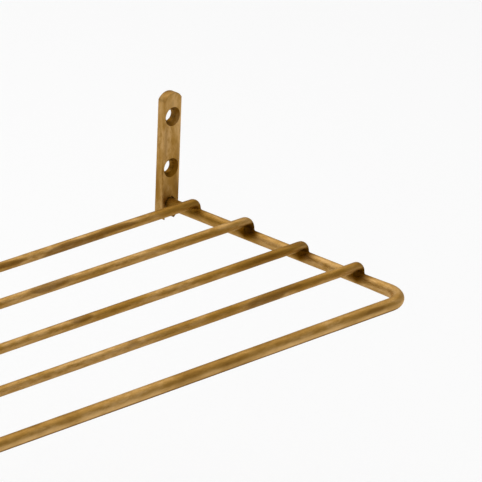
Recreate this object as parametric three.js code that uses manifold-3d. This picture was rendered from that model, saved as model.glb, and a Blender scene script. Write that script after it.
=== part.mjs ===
// Wall mounted fold down drying rack: two flat wall brackets carry a U-shaped frame bar
// that swings on two cross pins, with four cross rods welded on top of its side arms.
// Millimetres, +Z up. X runs along the wall, the wall is the plane Y = 0 and the rack
// stands out towards -Y. Z = 0 is the height of the two pivot pins.

import * as THREE from "three";
import { mergeVertices } from "three/addons/utils/BufferGeometryUtils.js";
import Module from "manifold-3d";

const wasm = await Module();
wasm.setup();

// Frame bar
const ARM_SPACING = 600; // between the centre lines of the two side arms
const ARM_RADIUS = 3.65;
const FRONT_RADIUS = 4;
const FRONT_Y = -207; // centre line of the front bar
const CORNER_RADIUS = 16; // bend radius on the centre line
const TAPER_LENGTH = 20; // where the arms draw down to their own size

// Cross rods, the first one nearest the wall
const ROD_RADIUS = 3;
const FIRST_ROD_Y = -28.5;
const ROD_PITCH = 46;
const ROD_HEIGHTS = [7.3, 9.6, 7.6, 8.3]; // rod centre line above the arm's centre line
const ROD_BEND_RADII = [4, 5.6, 4, 4]; // on the centre line, where the ends turn down

// Wall brackets
const BRACKET_WIDTH = 15;
const BRACKET_THICKNESS = 6;
const BRACKET_TOP = 72.4;
const BRACKET_BOTTOM = -11.1; // of the end arc, which the slot cuts through
const END_RADIUS = 8.8; // of the arc across each end
const EDGE_ROUND = 0.8;
const HOLE_HEIGHTS = [56.9, 23.5];
const HOLE_RADIUS = 4;
const SINK_RADIUS = 6;
const SINK_DEPTH = 2.2;

// Pivots
const PIN_Y = -3.8;
const PIN_RADIUS = 1.5;
const SLOT_ARCH_HEIGHT = 0.6; // centre of the arch that closes the slot above the arm
const SLOT_CLEARANCE = 0.3; // between the arm and each cheek
const PIN_CLEARANCE = 0.1; // between the pin and its holes
const WELD_GAP = 0.2; // between a rod's coped end and the arm

const SIDES = { left: -1, right: 1 };
const LAP = 0.5; // between two lengths of bar joined into one solid
const RING_SEGMENTS = 24;
const CORNER_STEPS = 12;
const ROD_BEND_STEPS = 8;

const brass = new THREE.MeshStandardMaterial({ color: 0x94702f, metalness: 0.9, roughness: 0.45 });
const pinBrass = new THREE.MeshStandardMaterial({ color: 0x7c5a22, metalness: 0.9, roughness: 0.5 });

// A geometry as a manifold-3d solid.
function solidOf(geometry) {
  const bare = new THREE.BufferGeometry();
  bare.setAttribute("position", geometry.getAttribute("position"));
  bare.setIndex(geometry.index);
  const merged = mergeVertices(bare, 1e-4);
  return new wasm.Manifold(
    new wasm.Mesh({
      numProp: 3,
      vertProperties: merged.getAttribute("position").array,
      triVerts: new Uint32Array(merged.index.array),
    }),
  );
}

// A manifold-3d solid as a named mesh.
function meshOf(solid, name, material) {
  const { vertProperties, triVerts } = solid.getMesh();
  const geometry = new THREE.BufferGeometry();
  geometry.setAttribute("position", new THREE.BufferAttribute(vertProperties, 3));
  geometry.setIndex(new THREE.BufferAttribute(triVerts, 1));
  const mesh = new THREE.Mesh(geometry.toNonIndexed(), material);
  mesh.geometry.computeVertexNormals();
  mesh.name = name;
  return mesh;
}

// A straight round bar along X or Y between two positions on that axis.
function roundBar(axis, radius, from, to, centre) {
  const geometry = new THREE.CylinderGeometry(radius, radius, to - from, RING_SEGMENTS);
  if (axis === "x") geometry.rotateZ(-Math.PI / 2);
  const middle = (from + to) / 2;
  const offset = axis === "x" ? [middle, centre.y, centre.z] : [centre.x, middle, centre.z];
  geometry.translate(...offset);
  return solidOf(geometry);
}

// The centre line of a bent bar: straight runs between corners, each corner turned with one
// bend radius. It is sampled station by station, so that long straight runs stay whole.
class BentLine extends THREE.Curve {
  constructor(corners, bendRadius, bendSteps) {
    super();
    const first = directionOf(corners[0], corners[1]);
    this.stations = [{ point: corners[0], tangent: first }];
    for (let i = 1; i < corners.length - 1; i++) {
      const before = directionOf(corners[i - 1], corners[i]);
      const after = directionOf(corners[i], corners[i + 1]);
      this.stations.push(...squareBend(corners[i], before, after, bendRadius, bendSteps));
    }
    const last = corners.length - 1;
    this.stations.push({ point: corners[last], tangent: directionOf(corners[last - 1], corners[last]) });
  }

  get steps() {
    return this.stations.length - 1;
  }

  getUtoTmapping(u) {
    return u;
  }

  getPoint(t, target = new THREE.Vector3()) {
    const place = t * this.steps;
    const before = Math.min(Math.floor(place), this.steps - 1);
    const { point: start } = this.stations[before];
    const { point: end } = this.stations[before + 1];
    return target.lerpVectors(start, end, place - before);
  }

  getTangent(t, target = new THREE.Vector3()) {
    return target.copy(this.stations[Math.round(t * this.steps)].tangent);
  }
}

function directionOf(from, to) {
  return to.clone().sub(from).normalize();
}

// Stations round a square corner, from direction `before` to direction `after`.
function squareBend(corner, before, after, radius, steps) {
  const centre = corner.clone().addScaledVector(before, -radius).addScaledVector(after, radius);
  const stations = [];
  for (let i = 0; i <= steps; i++) {
    const turn = ((Math.PI / 2) * i) / steps;
    const point = centre.clone();
    point.addScaledVector(before, radius * Math.sin(turn));
    point.addScaledVector(after, -radius * Math.cos(turn));
    const tangent = before.clone().multiplyScalar(Math.cos(turn));
    tangent.addScaledVector(after, Math.sin(turn));
    stations.push({ point, tangent });
  }
  return stations;
}

// A round bar of one radius along a bent centre line.
function bentBar(line, radius) {
  const section = new THREE.Shape();
  section.absarc(0, 0, radius, 0, 2 * Math.PI);
  const geometry = new THREE.ExtrudeGeometry(section, {
    steps: line.steps,
    curveSegments: RING_SEGMENTS / 2,
    extrudePath: line,
    bevelEnabled: false,
  });
  return solidOf(geometry);
}

// One side arm: a taper down from the front bar's size, then a plain bar that ends in a ball
// about the pivot and is drilled for the pin.
function sideArm(x) {
  const taperStart = FRONT_Y + CORNER_RADIUS - LAP;
  const taperEnd = taperStart + TAPER_LENGTH;
  const taper = new THREE.CylinderGeometry(ARM_RADIUS, FRONT_RADIUS, TAPER_LENGTH, RING_SEGMENTS);
  taper.translate(x, (taperStart + taperEnd) / 2, 0);
  const arm = solidOf(taper).add(roundBar("y", ARM_RADIUS, taperEnd - LAP, PIN_Y, { x, z: 0 }));

  const pinHole = roundBar("x", PIN_RADIUS + PIN_CLEARANCE, x - 6, x + 6, { y: PIN_Y, z: 0 });
  return arm.add(ballEnd(x)).subtract(pinHole);
}

// The ball that ends an arm, centred on the pivot so that it turns clear of the slot's arch.
function ballEnd(x) {
  const ball = new THREE.SphereGeometry(ARM_RADIUS, RING_SEGMENTS, RING_SEGMENTS / 2);
  ball.translate(x, PIN_Y, 0);
  return solidOf(ball);
}

// The U-shaped bar: left arm, front bar and right arm, bent from one length.
function frameBar() {
  const armX = ARM_SPACING / 2;
  const bendEnd = FRONT_Y + CORNER_RADIUS;
  const line = new BentLine(
    [
      new THREE.Vector3(-armX, bendEnd + LAP, 0),
      new THREE.Vector3(-armX, FRONT_Y, 0),
      new THREE.Vector3(armX, FRONT_Y, 0),
      new THREE.Vector3(armX, bendEnd + LAP, 0),
    ],
    CORNER_RADIUS,
    CORNER_STEPS,
  );
  const bar = bentBar(line, FRONT_RADIUS).add(sideArm(-armX)).add(sideArm(armX));
  return meshOf(bar, "frame_bar", brass);
}

// A cross rod: both ends turn down and stand on the side arms, coped to the arms' curve.
function crossRod(number) {
  const armX = ARM_SPACING / 2;
  const y = FIRST_ROD_Y - ROD_PITCH * (number - 1);
  const height = ROD_HEIGHTS[number - 1];
  const line = new BentLine(
    [
      new THREE.Vector3(-armX, y, 0),
      new THREE.Vector3(-armX, y, height),
      new THREE.Vector3(armX, y, height),
      new THREE.Vector3(armX, y, 0),
    ],
    ROD_BEND_RADII[number - 1],
    ROD_BEND_STEPS,
  );
  let rod = bentBar(line, ROD_RADIUS);
  for (const x of [-armX, armX]) {
    const reach = 10;
    const under = new THREE.BoxGeometry(12, 12, ARM_RADIUS);
    under.translate(x, y, -ARM_RADIUS / 2);
    const cope = roundBar("y", ARM_RADIUS + WELD_GAP, y - reach, y + reach, { x, z: 0 });
    rod = rod.subtract(cope.add(solidOf(under)));
  }
  return meshOf(rod, "cross_rod_" + number, brass);
}

// The bracket's outline in the XZ plane, an arc across each end.
function bracketOutline() {
  const half = BRACKET_WIDTH / 2;
  const drop = END_RADIUS - Math.sqrt(END_RADIUS ** 2 - half ** 2);
  const spread = Math.asin(half / END_RADIUS);
  const outline = new THREE.Shape();
  outline.moveTo(half, BRACKET_BOTTOM + drop);
  outline.lineTo(half, BRACKET_TOP - drop);
  outline.absarc(0, BRACKET_TOP - END_RADIUS, END_RADIUS, Math.PI / 2 - spread, Math.PI / 2 + spread);
  outline.lineTo(-half, BRACKET_BOTTOM + drop);
  outline.absarc(0, BRACKET_BOTTOM + END_RADIUS, END_RADIUS, -Math.PI / 2 - spread, -Math.PI / 2 + spread);
  return outline;
}

// The slot that takes the arm: open below, closed by an arch above.
function slotCutter() {
  const half = ARM_RADIUS + SLOT_CLEARANCE;
  const outline = new THREE.Shape();
  outline.moveTo(half, BRACKET_BOTTOM - 5);
  outline.lineTo(half, SLOT_ARCH_HEIGHT);
  outline.absarc(0, SLOT_ARCH_HEIGHT, half, 0, Math.PI);
  outline.lineTo(-half, BRACKET_BOTTOM - 5);
  const geometry = new THREE.ExtrudeGeometry(outline, {
    depth: BRACKET_THICKNESS + 2,
    bevelEnabled: false,
    curveSegments: 12,
  });
  geometry.rotateX(Math.PI / 2);
  geometry.translate(0, 1, 0);
  return solidOf(geometry);
}

// One countersunk screw hole, opening towards the front face.
function screwHoleCutter(height) {
  const front = -BRACKET_THICKNESS;
  const margin = 0.5; // the cone goes on past the front face
  const bore = roundBar("y", HOLE_RADIUS, front - 1, 1, { x: 0, z: height });
  const slope = (SINK_RADIUS - HOLE_RADIUS) / SINK_DEPTH;
  const length = SINK_DEPTH + margin;
  const cone = new THREE.CylinderGeometry(
    HOLE_RADIUS,
    SINK_RADIUS + slope * margin,
    length,
    RING_SEGMENTS,
  );
  cone.translate(0, front - margin + length / 2, height);
  return bore.add(solidOf(cone));
}

function wallBracket(side) {
  const geometry = new THREE.ExtrudeGeometry(bracketOutline(), {
    depth: BRACKET_THICKNESS - 2 * EDGE_ROUND,
    bevelEnabled: true,
    bevelThickness: EDGE_ROUND,
    bevelSize: EDGE_ROUND,
    bevelOffset: -EDGE_ROUND,
    bevelSegments: 2,
    curveSegments: 10,
  });
  geometry.rotateX(Math.PI / 2);
  geometry.translate(0, -EDGE_ROUND, 0);
  let bracket = solidOf(geometry).subtract(slotCutter());
  for (const height of HOLE_HEIGHTS) bracket = bracket.subtract(screwHoleCutter(height));
  const half = BRACKET_WIDTH / 2;
  bracket = bracket.subtract(
    roundBar("x", PIN_RADIUS + PIN_CLEARANCE, -half - 1, half + 1, { y: PIN_Y, z: 0 }),
  );
  const x = (SIDES[side] * ARM_SPACING) / 2;
  return meshOf(bracket.translate([x, 0, 0]), "wall_bracket_" + side, brass);
}

// The pivot pin, filed flush with the outer faces of the bracket's two cheeks.
function pivotPin(side) {
  const x = (SIDES[side] * ARM_SPACING) / 2;
  const half = BRACKET_WIDTH / 2;
  const pin = roundBar("x", PIN_RADIUS, x - half, x + half, { y: PIN_Y, z: 0 });
  return meshOf(pin, "pivot_pin_" + side, pinBrass);
}

const group = new THREE.Group();
for (const side of Object.keys(SIDES)) group.add(wallBracket(side), pivotPin(side));
group.add(frameBar());
for (let number = 1; number <= ROD_HEIGHTS.length; number++) group.add(crossRod(number));

export default group;
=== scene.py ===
"""Wall mounted fold down drying rack, finished in antique brass.

Two flat wall brackets carry a U-shaped frame bar on two pivot pins, and four cross rods stand
on the side arms of the bar. Every piece is built smooth, with its bends, welds and worn edges,
in the place its frame node holds, in metres.
"""

import logging
import math
from collections.abc import Callable
from dataclasses import dataclass, field
from enum import Enum

import bmesh
import bpy
from mathutils import Matrix, Vector, noise


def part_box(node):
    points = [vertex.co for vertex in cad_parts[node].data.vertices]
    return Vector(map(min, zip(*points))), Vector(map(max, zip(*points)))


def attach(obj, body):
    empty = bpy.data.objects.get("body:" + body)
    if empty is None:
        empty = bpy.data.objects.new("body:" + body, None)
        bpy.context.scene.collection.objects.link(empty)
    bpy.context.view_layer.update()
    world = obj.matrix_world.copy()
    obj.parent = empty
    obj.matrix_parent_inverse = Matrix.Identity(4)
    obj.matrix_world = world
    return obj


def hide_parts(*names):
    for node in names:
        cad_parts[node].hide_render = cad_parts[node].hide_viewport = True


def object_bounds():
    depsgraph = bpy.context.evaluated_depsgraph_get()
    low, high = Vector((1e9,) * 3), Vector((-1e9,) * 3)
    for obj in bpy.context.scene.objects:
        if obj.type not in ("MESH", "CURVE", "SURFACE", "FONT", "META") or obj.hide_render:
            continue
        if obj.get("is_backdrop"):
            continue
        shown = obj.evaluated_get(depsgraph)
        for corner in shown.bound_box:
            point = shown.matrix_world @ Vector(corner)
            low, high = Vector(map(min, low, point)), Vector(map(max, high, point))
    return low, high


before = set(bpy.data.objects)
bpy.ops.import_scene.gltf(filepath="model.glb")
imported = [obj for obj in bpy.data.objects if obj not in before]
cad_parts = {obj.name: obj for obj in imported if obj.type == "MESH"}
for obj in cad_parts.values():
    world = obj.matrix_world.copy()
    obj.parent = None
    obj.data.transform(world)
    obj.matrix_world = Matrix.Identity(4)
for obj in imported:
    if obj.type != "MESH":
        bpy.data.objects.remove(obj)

log = logging.getLogger("drying_rack")

MM = 0.001
NEAR = 1e-6
QUARTER = math.pi / 2
NOISE_SEED = 11

Rgb = tuple[float, float, float]
Socket = bpy.types.NodeSocket

PLAIN: Rgb = (1.0, 1.0, 1.0)
ROD_BENDS = (4 * MM, 5.6 * MM, 4 * MM, 4 * MM)
# How dark the painted shade, with some weld soot, is at each rod's feet.
ROD_SOOT_AND_SHADE = (0.45, 0.95, 0.9, 0.9)


class Side(Enum):
    """The two ends of the rack, with the sign of their X."""

    LEFT = -1
    RIGHT = 1

    @property
    def tag(self) -> str:
        """The side's name as the frame nodes spell it."""
        return self.name.lower()


class Body(Enum):
    """The frame bodies that pieces ride on."""

    BRACKETS = "brackets"
    RACK = "rack"


class Space(Enum):
    """Where a finish reads its pattern: along a bar, or straight from the piece."""

    BAR = "bar_space"
    OBJECT = "object"


class Cells(Enum):
    """How many cells to the metre each pattern of a finish has."""

    CLOUDS = 34.0
    MOTTLE = 150.0
    GRAIN = 430.0
    BLOTS = 62.0
    WAVES = 95.0
    LINES = 900.0
    PITS = 700.0


# --------------------------------------------------------------------------- finishes


class Graph:
    """A small helper that adds and joins nodes in one node tree."""

    def __init__(self, tree: bpy.types.NodeTree) -> None:
        """Keeps the tree and empties it.

        Args:
            tree: the node tree to fill.
        """
        self.tree = tree
        tree.nodes.clear()

    def add(self, kind: str, **settings: object) -> bpy.types.Node:
        """Adds a node.

        Args:
            kind: the node's type name.
            settings: properties to set on it.

        Returns:
            The new node.
        """
        node = self.tree.nodes.new(kind)
        for name, value in settings.items():
            setattr(node, name, value)
        return node

    def feed(self, socket: Socket, value: object) -> None:
        """Links or sets an input.

        Args:
            socket: the input socket.
            value: an output socket to link, or a plain value to set.
        """
        if isinstance(value, bpy.types.NodeSocket):
            self.tree.links.new(value, socket)
        else:
            socket.default_value = value

    def math(
        self, operation: str, first: object, second: object = 0.0, clamp: bool = False
    ) -> Socket:
        """Adds one Math node.

        Args:
            operation: the node's operation.
            first: first operand, a socket or a number.
            second: second operand, a socket or a number.
            clamp: whether the result stays between 0 and 1.

        Returns:
            The result socket.
        """
        node = self.add("ShaderNodeMath", operation=operation, use_clamp=clamp)
        self.feed(node.inputs[0], first)
        self.feed(node.inputs[1], second)
        return node.outputs[0]

    def ramp(
        self, value: object, low: float, high: float, to_low: float, to_high: float
    ) -> Socket:
        """Maps a value smoothly from one range to another.

        Args:
            value: the socket to map.
            low: value that gives to_low.
            high: value that gives to_high.
            to_low: result at the low end.
            to_high: result at the high end.

        Returns:
            The result socket.
        """
        node = self.add("ShaderNodeMapRange", interpolation_type="SMOOTHSTEP")
        for name, number in zip(
            ("Value", "From Min", "From Max", "To Min", "To Max"),
            (value, low, high, to_low, to_high),
        ):
            self.feed(node.inputs[name], number)
        return node.outputs["Result"]

    def mix(self, factor: object, first: object, second: object) -> Socket:
        """Mixes two colours.

        Args:
            factor: 0 gives the first colour and 1 the second.
            first: the first colour.
            second: the second colour.

        Returns:
            The mixed colour socket.
        """
        node = self.add("ShaderNodeMix", data_type="RGBA")
        self.feed(node.inputs["Factor"], factor)
        self.feed(node.inputs["A"], first)
        self.feed(node.inputs["B"], second)
        return node.outputs["Result"]

    def scaled(self, vector: Socket, scale: object, offset: object = (0, 0, 0)) -> Socket:
        """Scales and then shifts a vector.

        Args:
            vector: the vector socket.
            scale: three factors.
            offset: the shift, three numbers or a vector socket.

        Returns:
            The new vector socket.
        """
        node = self.add("ShaderNodeVectorMath", operation="MULTIPLY_ADD")
        self.feed(node.inputs[0], vector)
        self.feed(node.inputs[1], scale)
        self.feed(node.inputs[2], offset)
        return node.outputs[0]

    def noise(self, vector: Socket, scale: float, detail: float, rough: float = 0.5) -> Socket:
        """Adds a noise texture.

        Args:
            vector: where it is read.
            scale: cells per unit.
            detail: octaves.
            rough: how strong the finer octaves are.

        Returns:
            The noise value socket.
        """
        node = self.add("ShaderNodeTexNoise")
        self.feed(node.inputs["Vector"], vector)
        node.inputs["Scale"].default_value = scale
        node.inputs["Detail"].default_value = detail
        node.inputs["Roughness"].default_value = rough
        return node.outputs["Fac"]


def colour(rgb: Rgb) -> tuple[float, float, float, float]:
    """A colour with its alpha of one."""
    return (*rgb, 1.0)


class BrassGroups:
    """The shader node groups that all the brass finishes share."""

    def __init__(self) -> None:
        """Builds the groups once."""
        self.tone = self._tone()
        self.relief = self._relief()

    @staticmethod
    def _new(
        name: str, inputs: dict[str, object], outputs: dict[str, str]
    ) -> tuple[bpy.types.NodeTree, Graph]:
        """Starts a group and its sockets.

        Args:
            name: the group's name.
            inputs: input names with their default values.
            outputs: output names with their socket types.

        Returns:
            The group's tree and its graph.
        """
        tree = bpy.data.node_groups.new(name, "ShaderNodeTree")
        kinds = {1: "NodeSocketFloat", 3: "NodeSocketVector", 4: "NodeSocketColor"}
        for label, value in inputs.items():
            size = len(value) if isinstance(value, tuple) else 1
            socket = tree.interface.new_socket(label, in_out="INPUT", socket_type=kinds[size])
            socket.default_value = value
        for label, kind in outputs.items():
            tree.interface.new_socket(label, in_out="OUTPUT", socket_type=kind)
        return tree, Graph(tree)

    def _tone(self) -> bpy.types.NodeTree:
        """Aged brass colour and roughness: mottled body, dark stains, rubbed wear with painted
        sheen, and painted shade.

        Returns:
            The node group.
        """
        tree, g = self._new(
            "aged_brass_tone",
            {
                "Place": (0.0, 0.0, 0.0),
                "Stretch": (1.0, 1.0, 1.0),
                "Seed": (0.0, 0.0, 0.0),
                "Worn": (0.8, 0.6, 0.3, 1.0),
                "Body": (0.5, 0.3, 0.1, 1.0),
                "Patina": (0.1, 0.05, 0.01, 1.0),
                "Grime": (0.02, 0.01, 0.001, 1.0),
                "Patina Amount": 0.5,
                "Rubbed": 0.0,
                "Crevice": 0.0,
                "Smooth": 0.3,
                "Dull": 0.5,
                "Lacquer": 0.2,
            },
            {
                "Color": "NodeSocketColor",
                "Roughness": "NodeSocketFloat",
                "Varnish": "NodeSocketFloat",
            },
        )
        source = g.add("NodeGroupInput").outputs
        place = g.scaled(source["Place"], source["Stretch"], source["Seed"])
        elsewhere = g.scaled(place, PLAIN, (3.1, 7.7, 1.9))
        clouds = g.noise(place, Cells.CLOUDS.value, 3.0, 0.55)
        mottle = g.noise(place, Cells.MOTTLE.value, 4.0, 0.6)
        grain = g.noise(place, Cells.GRAIN.value, 3.0, 0.65)
        blots = g.noise(elsewhere, Cells.BLOTS.value, 1.5, 0.45)

        depth = g.math("ADD", g.math("MULTIPLY", clouds, 0.62), g.math("MULTIPLY", mottle, 0.38))
        dark = g.ramp(depth, 0.50, 0.32, 0.0, 0.75)
        for mark in (g.ramp(blots, 0.57, 0.605, 0.0, 0.62), g.ramp(grain, 0.46, 0.34, 0.0, 0.22)):
            dark = g.math("MAXIMUM", dark, mark)
        dark = g.math("MULTIPLY", dark, source["Patina Amount"], clamp=True)
        # Dirt and shade mask: some soot and dirt, but mostly painted shade in crevices, hollows
        # and undersides.
        crevice = g.math("MULTIPLY", source["Crevice"], g.ramp(mottle, 0.25, 0.7, 1.0, 0.85))

        shade = g.ramp(depth, 0.44, 0.57, 0.0, 1.0)
        light = g.math("MULTIPLY", shade, g.ramp(grain, 0.36, 0.66, 0.2, 0.72))
        # Wear and sheen mask: rubbed wear, with painted sheen where a piece asks for it.
        rub = g.math("MULTIPLY", source["Rubbed"], g.ramp(mottle, 0.3, 0.65, 0.45, 1.0))
        base = g.mix(light, source["Body"], source["Worn"])
        base = g.mix(dark, base, source["Patina"])
        base = g.mix(rub, base, source["Worn"])
        # Painted shade: the dirt and shade mask darkens towards the patina colour, and deepest
        # towards the soot and deep shade colour.
        base = g.mix(g.math("MULTIPLY", crevice, 1.5, clamp=True), base, source["Patina"])
        base = g.mix(g.ramp(crevice, 0.62, 1.0, 0.0, 0.95), base, source["Grime"])

        dirt = g.math("MULTIPLY", g.math("MAXIMUM", dark, crevice), 0.35)
        gloss = g.math("ADD", g.math("MULTIPLY", depth, 0.7), dirt, clamp=True)
        spread = g.math("SUBTRACT", source["Dull"], source["Smooth"])
        rough = g.math("ADD", source["Smooth"], g.math("MULTIPLY", spread, gloss))
        flecks = g.math("MULTIPLY", g.math("SUBTRACT", grain, 0.5), 0.12)
        rough = g.math("ADD", rough, flecks, clamp=True)
        lost = g.math("MAXIMUM", dark, g.math("MULTIPLY", crevice, 2.0))
        kept = g.math("SUBTRACT", 1.0, lost, clamp=True)
        out = g.add("NodeGroupOutput")
        g.feed(out.inputs["Color"], base)
        g.feed(out.inputs["Roughness"], rough)
        g.feed(out.inputs["Varnish"], g.math("MULTIPLY", source["Lacquer"], kept))
        return tree

    def _relief(self) -> bpy.types.NodeTree:
        """Relief of hand finished brass: slow waves, fine drawn lines and small pits, in metres.

        Returns:
            The node group.
        """
        tree, g = self._new(
            "hand_finish_relief",
            {
                "Place": (0.0, 0.0, 0.0),
                "Stretch": (1.0, 1.0, 1.0),
                "Seed": (0.0, 0.0, 0.0),
                "Waves": 0.06,
                "Lines": 0.01,
                "Pits": 0.02,
            },
            {"Height": "NodeSocketFloat"},
        )
        source = g.add("NodeGroupInput").outputs
        plain = g.scaled(source["Place"], PLAIN, source["Seed"])
        drawn = g.scaled(source["Place"], source["Stretch"], source["Seed"])
        waves = g.math("MULTIPLY", g.noise(plain, Cells.WAVES.value, 1.0), source["Waves"])
        lines = g.math("MULTIPLY", g.noise(drawn, Cells.LINES.value, 2.0), source["Lines"])
        holes = g.ramp(g.noise(plain, Cells.PITS.value, 1.0), 0.30, 0.38, -1.0, 0.0)
        pits = g.math("MULTIPLY", holes, source["Pits"])
        total = g.math("ADD", g.math("ADD", waves, lines), pits)
        out = g.add("NodeGroupOutput")
        g.feed(out.inputs["Height"], g.math("MULTIPLY", total, MM))
        return tree


@dataclass(frozen=True)
class BrassFinish:
    """One antique brass finish, as rubbed, stained or filed as its piece asks, with painted sheen
    and painted shade.
    """

    name: str
    slot: str
    space: Space
    stretch: Rgb = PLAIN
    drawn: Rgb = (0.05, 1.0, 1.0)
    seed: Rgb = (0.0, 0.0, 0.0)
    # The worn colour also serves painted sheen, and the patina colour also serves painted shade.
    worn: Rgb = (0.68, 0.435, 0.17)
    body: Rgb = (0.38, 0.19, 0.016)
    patina: Rgb = (0.13, 0.048, 0.002)
    # Deepest painted shade, in weld toes and under bent ends, with some weld soot.
    grime: Rgb = (0.03, 0.009, 0.0005)
    patina_amount: float = 0.85
    smooth: float = 0.48
    dull: float = 0.64
    lacquer: float = 0.4
    waves: float = 0.05
    lines: float = 0.006
    pits: float = 0.012
    coat_roughness: float = 0.42
    edge_tint: Rgb = (1.0, 0.8, 0.5)

    def build(self, groups: BrassGroups) -> bpy.types.Material:
        """Makes the material.

        Args:
            groups: the shared shader groups.

        Returns:
            The material.
        """
        made = bpy.data.materials.new(self.name)
        made.use_nodes = True
        g = Graph(made.node_tree)
        place = self._place(g)
        tone = g.add("ShaderNodeGroup", node_tree=groups.tone)
        relief = g.add("ShaderNodeGroup", node_tree=groups.relief)
        for node, stretch in ((tone, self.stretch), (relief, self.drawn)):
            g.feed(node.inputs["Place"], place)
            node.inputs["Stretch"].default_value = stretch
            node.inputs["Seed"].default_value = self.seed
        values = {
            "Worn": colour(self.worn),
            "Body": colour(self.body),
            "Patina": colour(self.patina),
            "Grime": colour(self.grime),
            "Patina Amount": self.patina_amount,
            "Smooth": self.smooth,
            "Dull": self.dull,
            "Lacquer": self.lacquer,
        }
        for label, value in values.items():
            tone.inputs[label].default_value = value
        for label, value in (("Waves", self.waves), ("Lines", self.lines), ("Pits", self.pits)):
            relief.inputs[label].default_value = value
        # Vertex masks: wear with painted sheen, and dirt with painted shade.
        for label, layer in (("Rubbed", "rubbed"), ("Crevice", "crevice")):
            mask = g.add("ShaderNodeAttribute", attribute_name=layer)
            g.feed(tone.inputs[label], mask.outputs["Fac"])
        bump = g.add("ShaderNodeBump")
        bump.inputs["Strength"].default_value = 1.0
        bump.inputs["Distance"].default_value = 1.0
        g.feed(bump.inputs["Height"], relief.outputs["Height"])
        shader = g.add("ShaderNodeBsdfPrincipled")
        shader.inputs["Metallic"].default_value = 1.0
        shader.inputs["Coat Roughness"].default_value = self.coat_roughness
        shader.inputs["Specular Tint"].default_value = colour(self.edge_tint)
        g.feed(shader.inputs["Base Color"], tone.outputs["Color"])
        g.feed(shader.inputs["Roughness"], tone.outputs["Roughness"])
        g.feed(shader.inputs["Coat Weight"], tone.outputs["Varnish"])
        g.feed(shader.inputs["Normal"], bump.outputs["Normal"])
        surface = g.add("ShaderNodeOutputMaterial")
        g.feed(surface.inputs["Surface"], shader.outputs["BSDF"])
        made.diffuse_color = colour(self.body)
        return made

    def _place(self, g: Graph) -> Socket:
        """The socket the pattern is read from.

        Args:
            g: the material's graph.

        Returns:
            A vector socket in metres.
        """
        if self.space is Space.BAR:
            return g.add("ShaderNodeAttribute", attribute_name=self.space.value).outputs["Vector"]
        return g.add("ShaderNodeTexCoord").outputs["Object"]


# --------------------------------------------------------------------------- mesh helpers


@dataclass(frozen=True)
class Band:
    """A stretch over which a mark grows, eased at both ends, from nothing to its strength."""

    start: float
    length: float
    strength: float = 1.0

    def up(self, value: float) -> float:
        """The mark where it grows as the value climbs past the start."""
        return self._eased(value - self.start)

    def down(self, value: float) -> float:
        """The mark where it grows as the value drops below the start."""
        return self._eased(self.start - value)

    def _eased(self, distance: float) -> float:
        """The mark's strength at a distance into the stretch."""
        held = min(1.0, max(0.0, distance / self.length))
        return self.strength * held * held * (3.0 - 2.0 * held)


def put_in_scene(name: str, data: bpy.types.ID) -> bpy.types.Object:
    """Makes an object of a mesh, a light or a camera, at the origin."""
    made = bpy.data.objects.new(name, data)
    bpy.context.scene.collection.objects.link(made)
    return made


def lay_down(bm: bmesh.types.BMesh, name: str, material: bpy.types.Material) -> bpy.types.Object:
    """Turns a finished bmesh into an object at the origin.

    Args:
        bm: the mesh, which is freed.
        name: the piece's name.
        material: its finish.

    Returns:
        The new object.
    """
    bmesh.ops.recalc_face_normals(bm, faces=bm.faces)
    for face in bm.faces:
        face.smooth = True
    mesh = bpy.data.meshes.new(name)
    bm.to_mesh(mesh)
    bm.free()
    mesh.materials.append(material)
    return put_in_scene(name, mesh)


def hand_over(piece: bpy.types.Object, body: Body, node: str) -> bpy.types.Object:
    """Puts a piece in the place of its frame node.

    Args:
        piece: the finished piece.
        body: the body it rides on.
        node: the frame node it stands for.

    Returns:
        The same piece.
    """
    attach(piece, body.value)
    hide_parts(node)
    log.info("%s: %d faces, rides on %s", piece.name, len(piece.data.polygons), body.value)
    return piece


def extruded(bm: bmesh.types.BMesh, edges: list) -> tuple[list, list]:
    """Extrudes a loop of edges in place.

    Args:
        bm: the mesh.
        edges: the loop.

    Returns:
        The new loop's edges and its vertices.
    """
    made = bmesh.ops.extrude_edge_only(bm, edges=edges)["geom"]
    new_edges = [e for e in made if isinstance(e, bmesh.types.BMEdge)]
    new_verts = [v for v in made if isinstance(v, bmesh.types.BMVert)]
    return new_edges, new_verts


def edges_among(bm: bmesh.types.BMesh, verts: list) -> list:
    """The edges that join vertices of one ring."""
    own = set(verts)
    return [e for e in bm.edges if set(e.verts) <= own]


def closed_to(bm: bmesh.types.BMesh, edges: list, spot: Vector) -> None:
    """Closes an open ring with a fan of faces that meet in one point."""
    _, tip = extruded(bm, edges)
    bmesh.ops.pointmerge(bm, verts=tip, merge_co=spot)


@dataclass(frozen=True)
class Station:
    """One place on a bar's centre line, with the frame its ring stands in."""

    centre: Vector
    tangent: Vector
    plane: Vector
    along: float

    def matrix(self, radius: float) -> Matrix:
        """The transform from a unit circle to this station's ring.

        Args:
            radius: the bar's radius here.

        Returns:
            The matrix.
        """
        side = self.plane.cross(self.tangent).normalized()
        columns = (side * radius, self.plane * radius, self.tangent, self.centre)
        made = Matrix.Identity(4)
        for index, column in enumerate(columns):
            for row in range(3):
                made[row][index] = column[row]
        return made


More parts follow.
